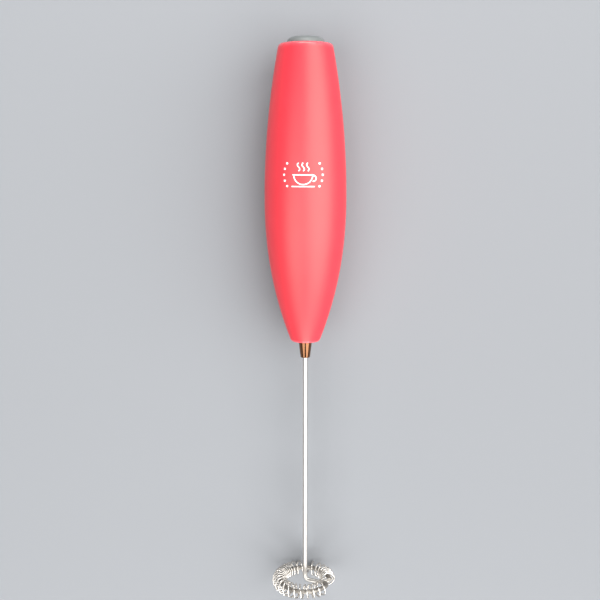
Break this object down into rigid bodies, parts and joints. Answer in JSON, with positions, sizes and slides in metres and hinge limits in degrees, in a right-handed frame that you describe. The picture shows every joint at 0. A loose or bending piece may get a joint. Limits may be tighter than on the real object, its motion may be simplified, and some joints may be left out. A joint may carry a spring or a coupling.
{
  "type": "battery milk frother",
  "caption": "Hand-held milk frother: barrel-shaped two-shell handle with an end push button, plated nose cone, and a thin rod with a spring-wound ring whisk.",
  "frame": {"origin": "middle of the wand's width and length, level with the lowest point of the handle's belly, so z = 0 is the surface it lies on", "axes": "+Y along the wand towards the push button, -Y towards the whisk, +Z out of the battery cover"},
  "size_m": [0.035, 0.2466, 0.035],
  "materials": {
    "soft_touch_red": "soft-touch coating on moulded ABS",
    "button_grey": "moulded ABS, fine texture",
    "plated_cone": "polished plating",
    "stainless_wire": "drawn stainless wire",
    "chassis_white": "moulded natural ABS",
    "zinc_steel": "zinc plated",
    "black_nylon": "moulded nylon",
    "contact_brass": "stamped sheet and sintered bush",
    "enamelled_copper": "enamelled wire",
    "ferrite": "sintered ferrite",
    "battery_sleeve": "printed sleeve on a steel can; aluminium gives about the cell's real density",
    "lead_pvc_red": "PVC insulation",
    "lead_pvc_black": "PVC insulation",
    "silicone": "moulded silicone"
  },
  "bodies": {
    "handle": {"rear_shell": "soft_touch_red", "chassis": "chassis_white", "chassis_screw_left": "zinc_steel", "chassis_screw_right": "zinc_steel", "switch_body": "black_nylon", "switch_spring": "stainless_wire", "switch_terminal_upper": "contact_brass", "switch_terminal_lower": "contact_brass", "battery_a": "battery_sleeve", "battery_b": "battery_sleeve", "contact_positive": "contact_brass", "contact_negative": "contact_brass", "contact_bridge": "contact_brass", "contact_spring_top": "stainless_wire", "contact_spring_bottom": "stainless_wire", "lead_link": "lead_pvc_red", "lead_red": "lead_pvc_red", "lead_black": "lead_pvc_black", "motor_can": "zinc_steel", "motor_end_cap": "chassis_white", "motor_terminal_left": "contact_brass", "motor_terminal_right": "contact_brass", "motor_magnet_left": "ferrite", "motor_magnet_right": "ferrite", "motor_brush_upper": "contact_brass", "motor_brush_lower": "contact_brass", "motor_bush_front": "contact_brass", "motor_bush_rear": "contact_brass", "shaft_seal": "silicone", "nose_cone": "plated_cone"},
    "cover": {"battery_cover": "soft_touch_red"},
    "button": {"power_button": "button_grey", "switch_plunger": "chassis_white"},
    "whisk": {"motor_rotor": "zinc_steel", "motor_winding_1": "enamelled_copper", "motor_winding_2": "enamelled_copper", "motor_winding_3": "enamelled_copper", "motor_commutator": "enamelled_copper", "motor_shaft": "stainless_wire", "shaft_coupler": "contact_brass", "whisk_rod": "stainless_wire", "whisk_coil": "stainless_wire"}
  },
  "joints": [
    {"name": "power_button_press", "type": "slide", "parent": "handle", "child": "button", "axis": [0, -1, 0], "range_m": [0, 0.0018], "stiffness_N_per_m": 500, "springref_m": -0.002, "deforming": ["switch_spring"]},
    {"name": "battery_cover_lift", "type": "slide", "parent": "handle", "child": "cover", "axis": [0, 0, 1], "range_m": [0, 0.045]},
    {"name": "whisk_spin", "type": "hinge", "parent": "handle", "child": "whisk", "pos_m": [0, -0.00535, 0.0175], "axis": [0, -1, 0], "continuous": true}
  ]
}
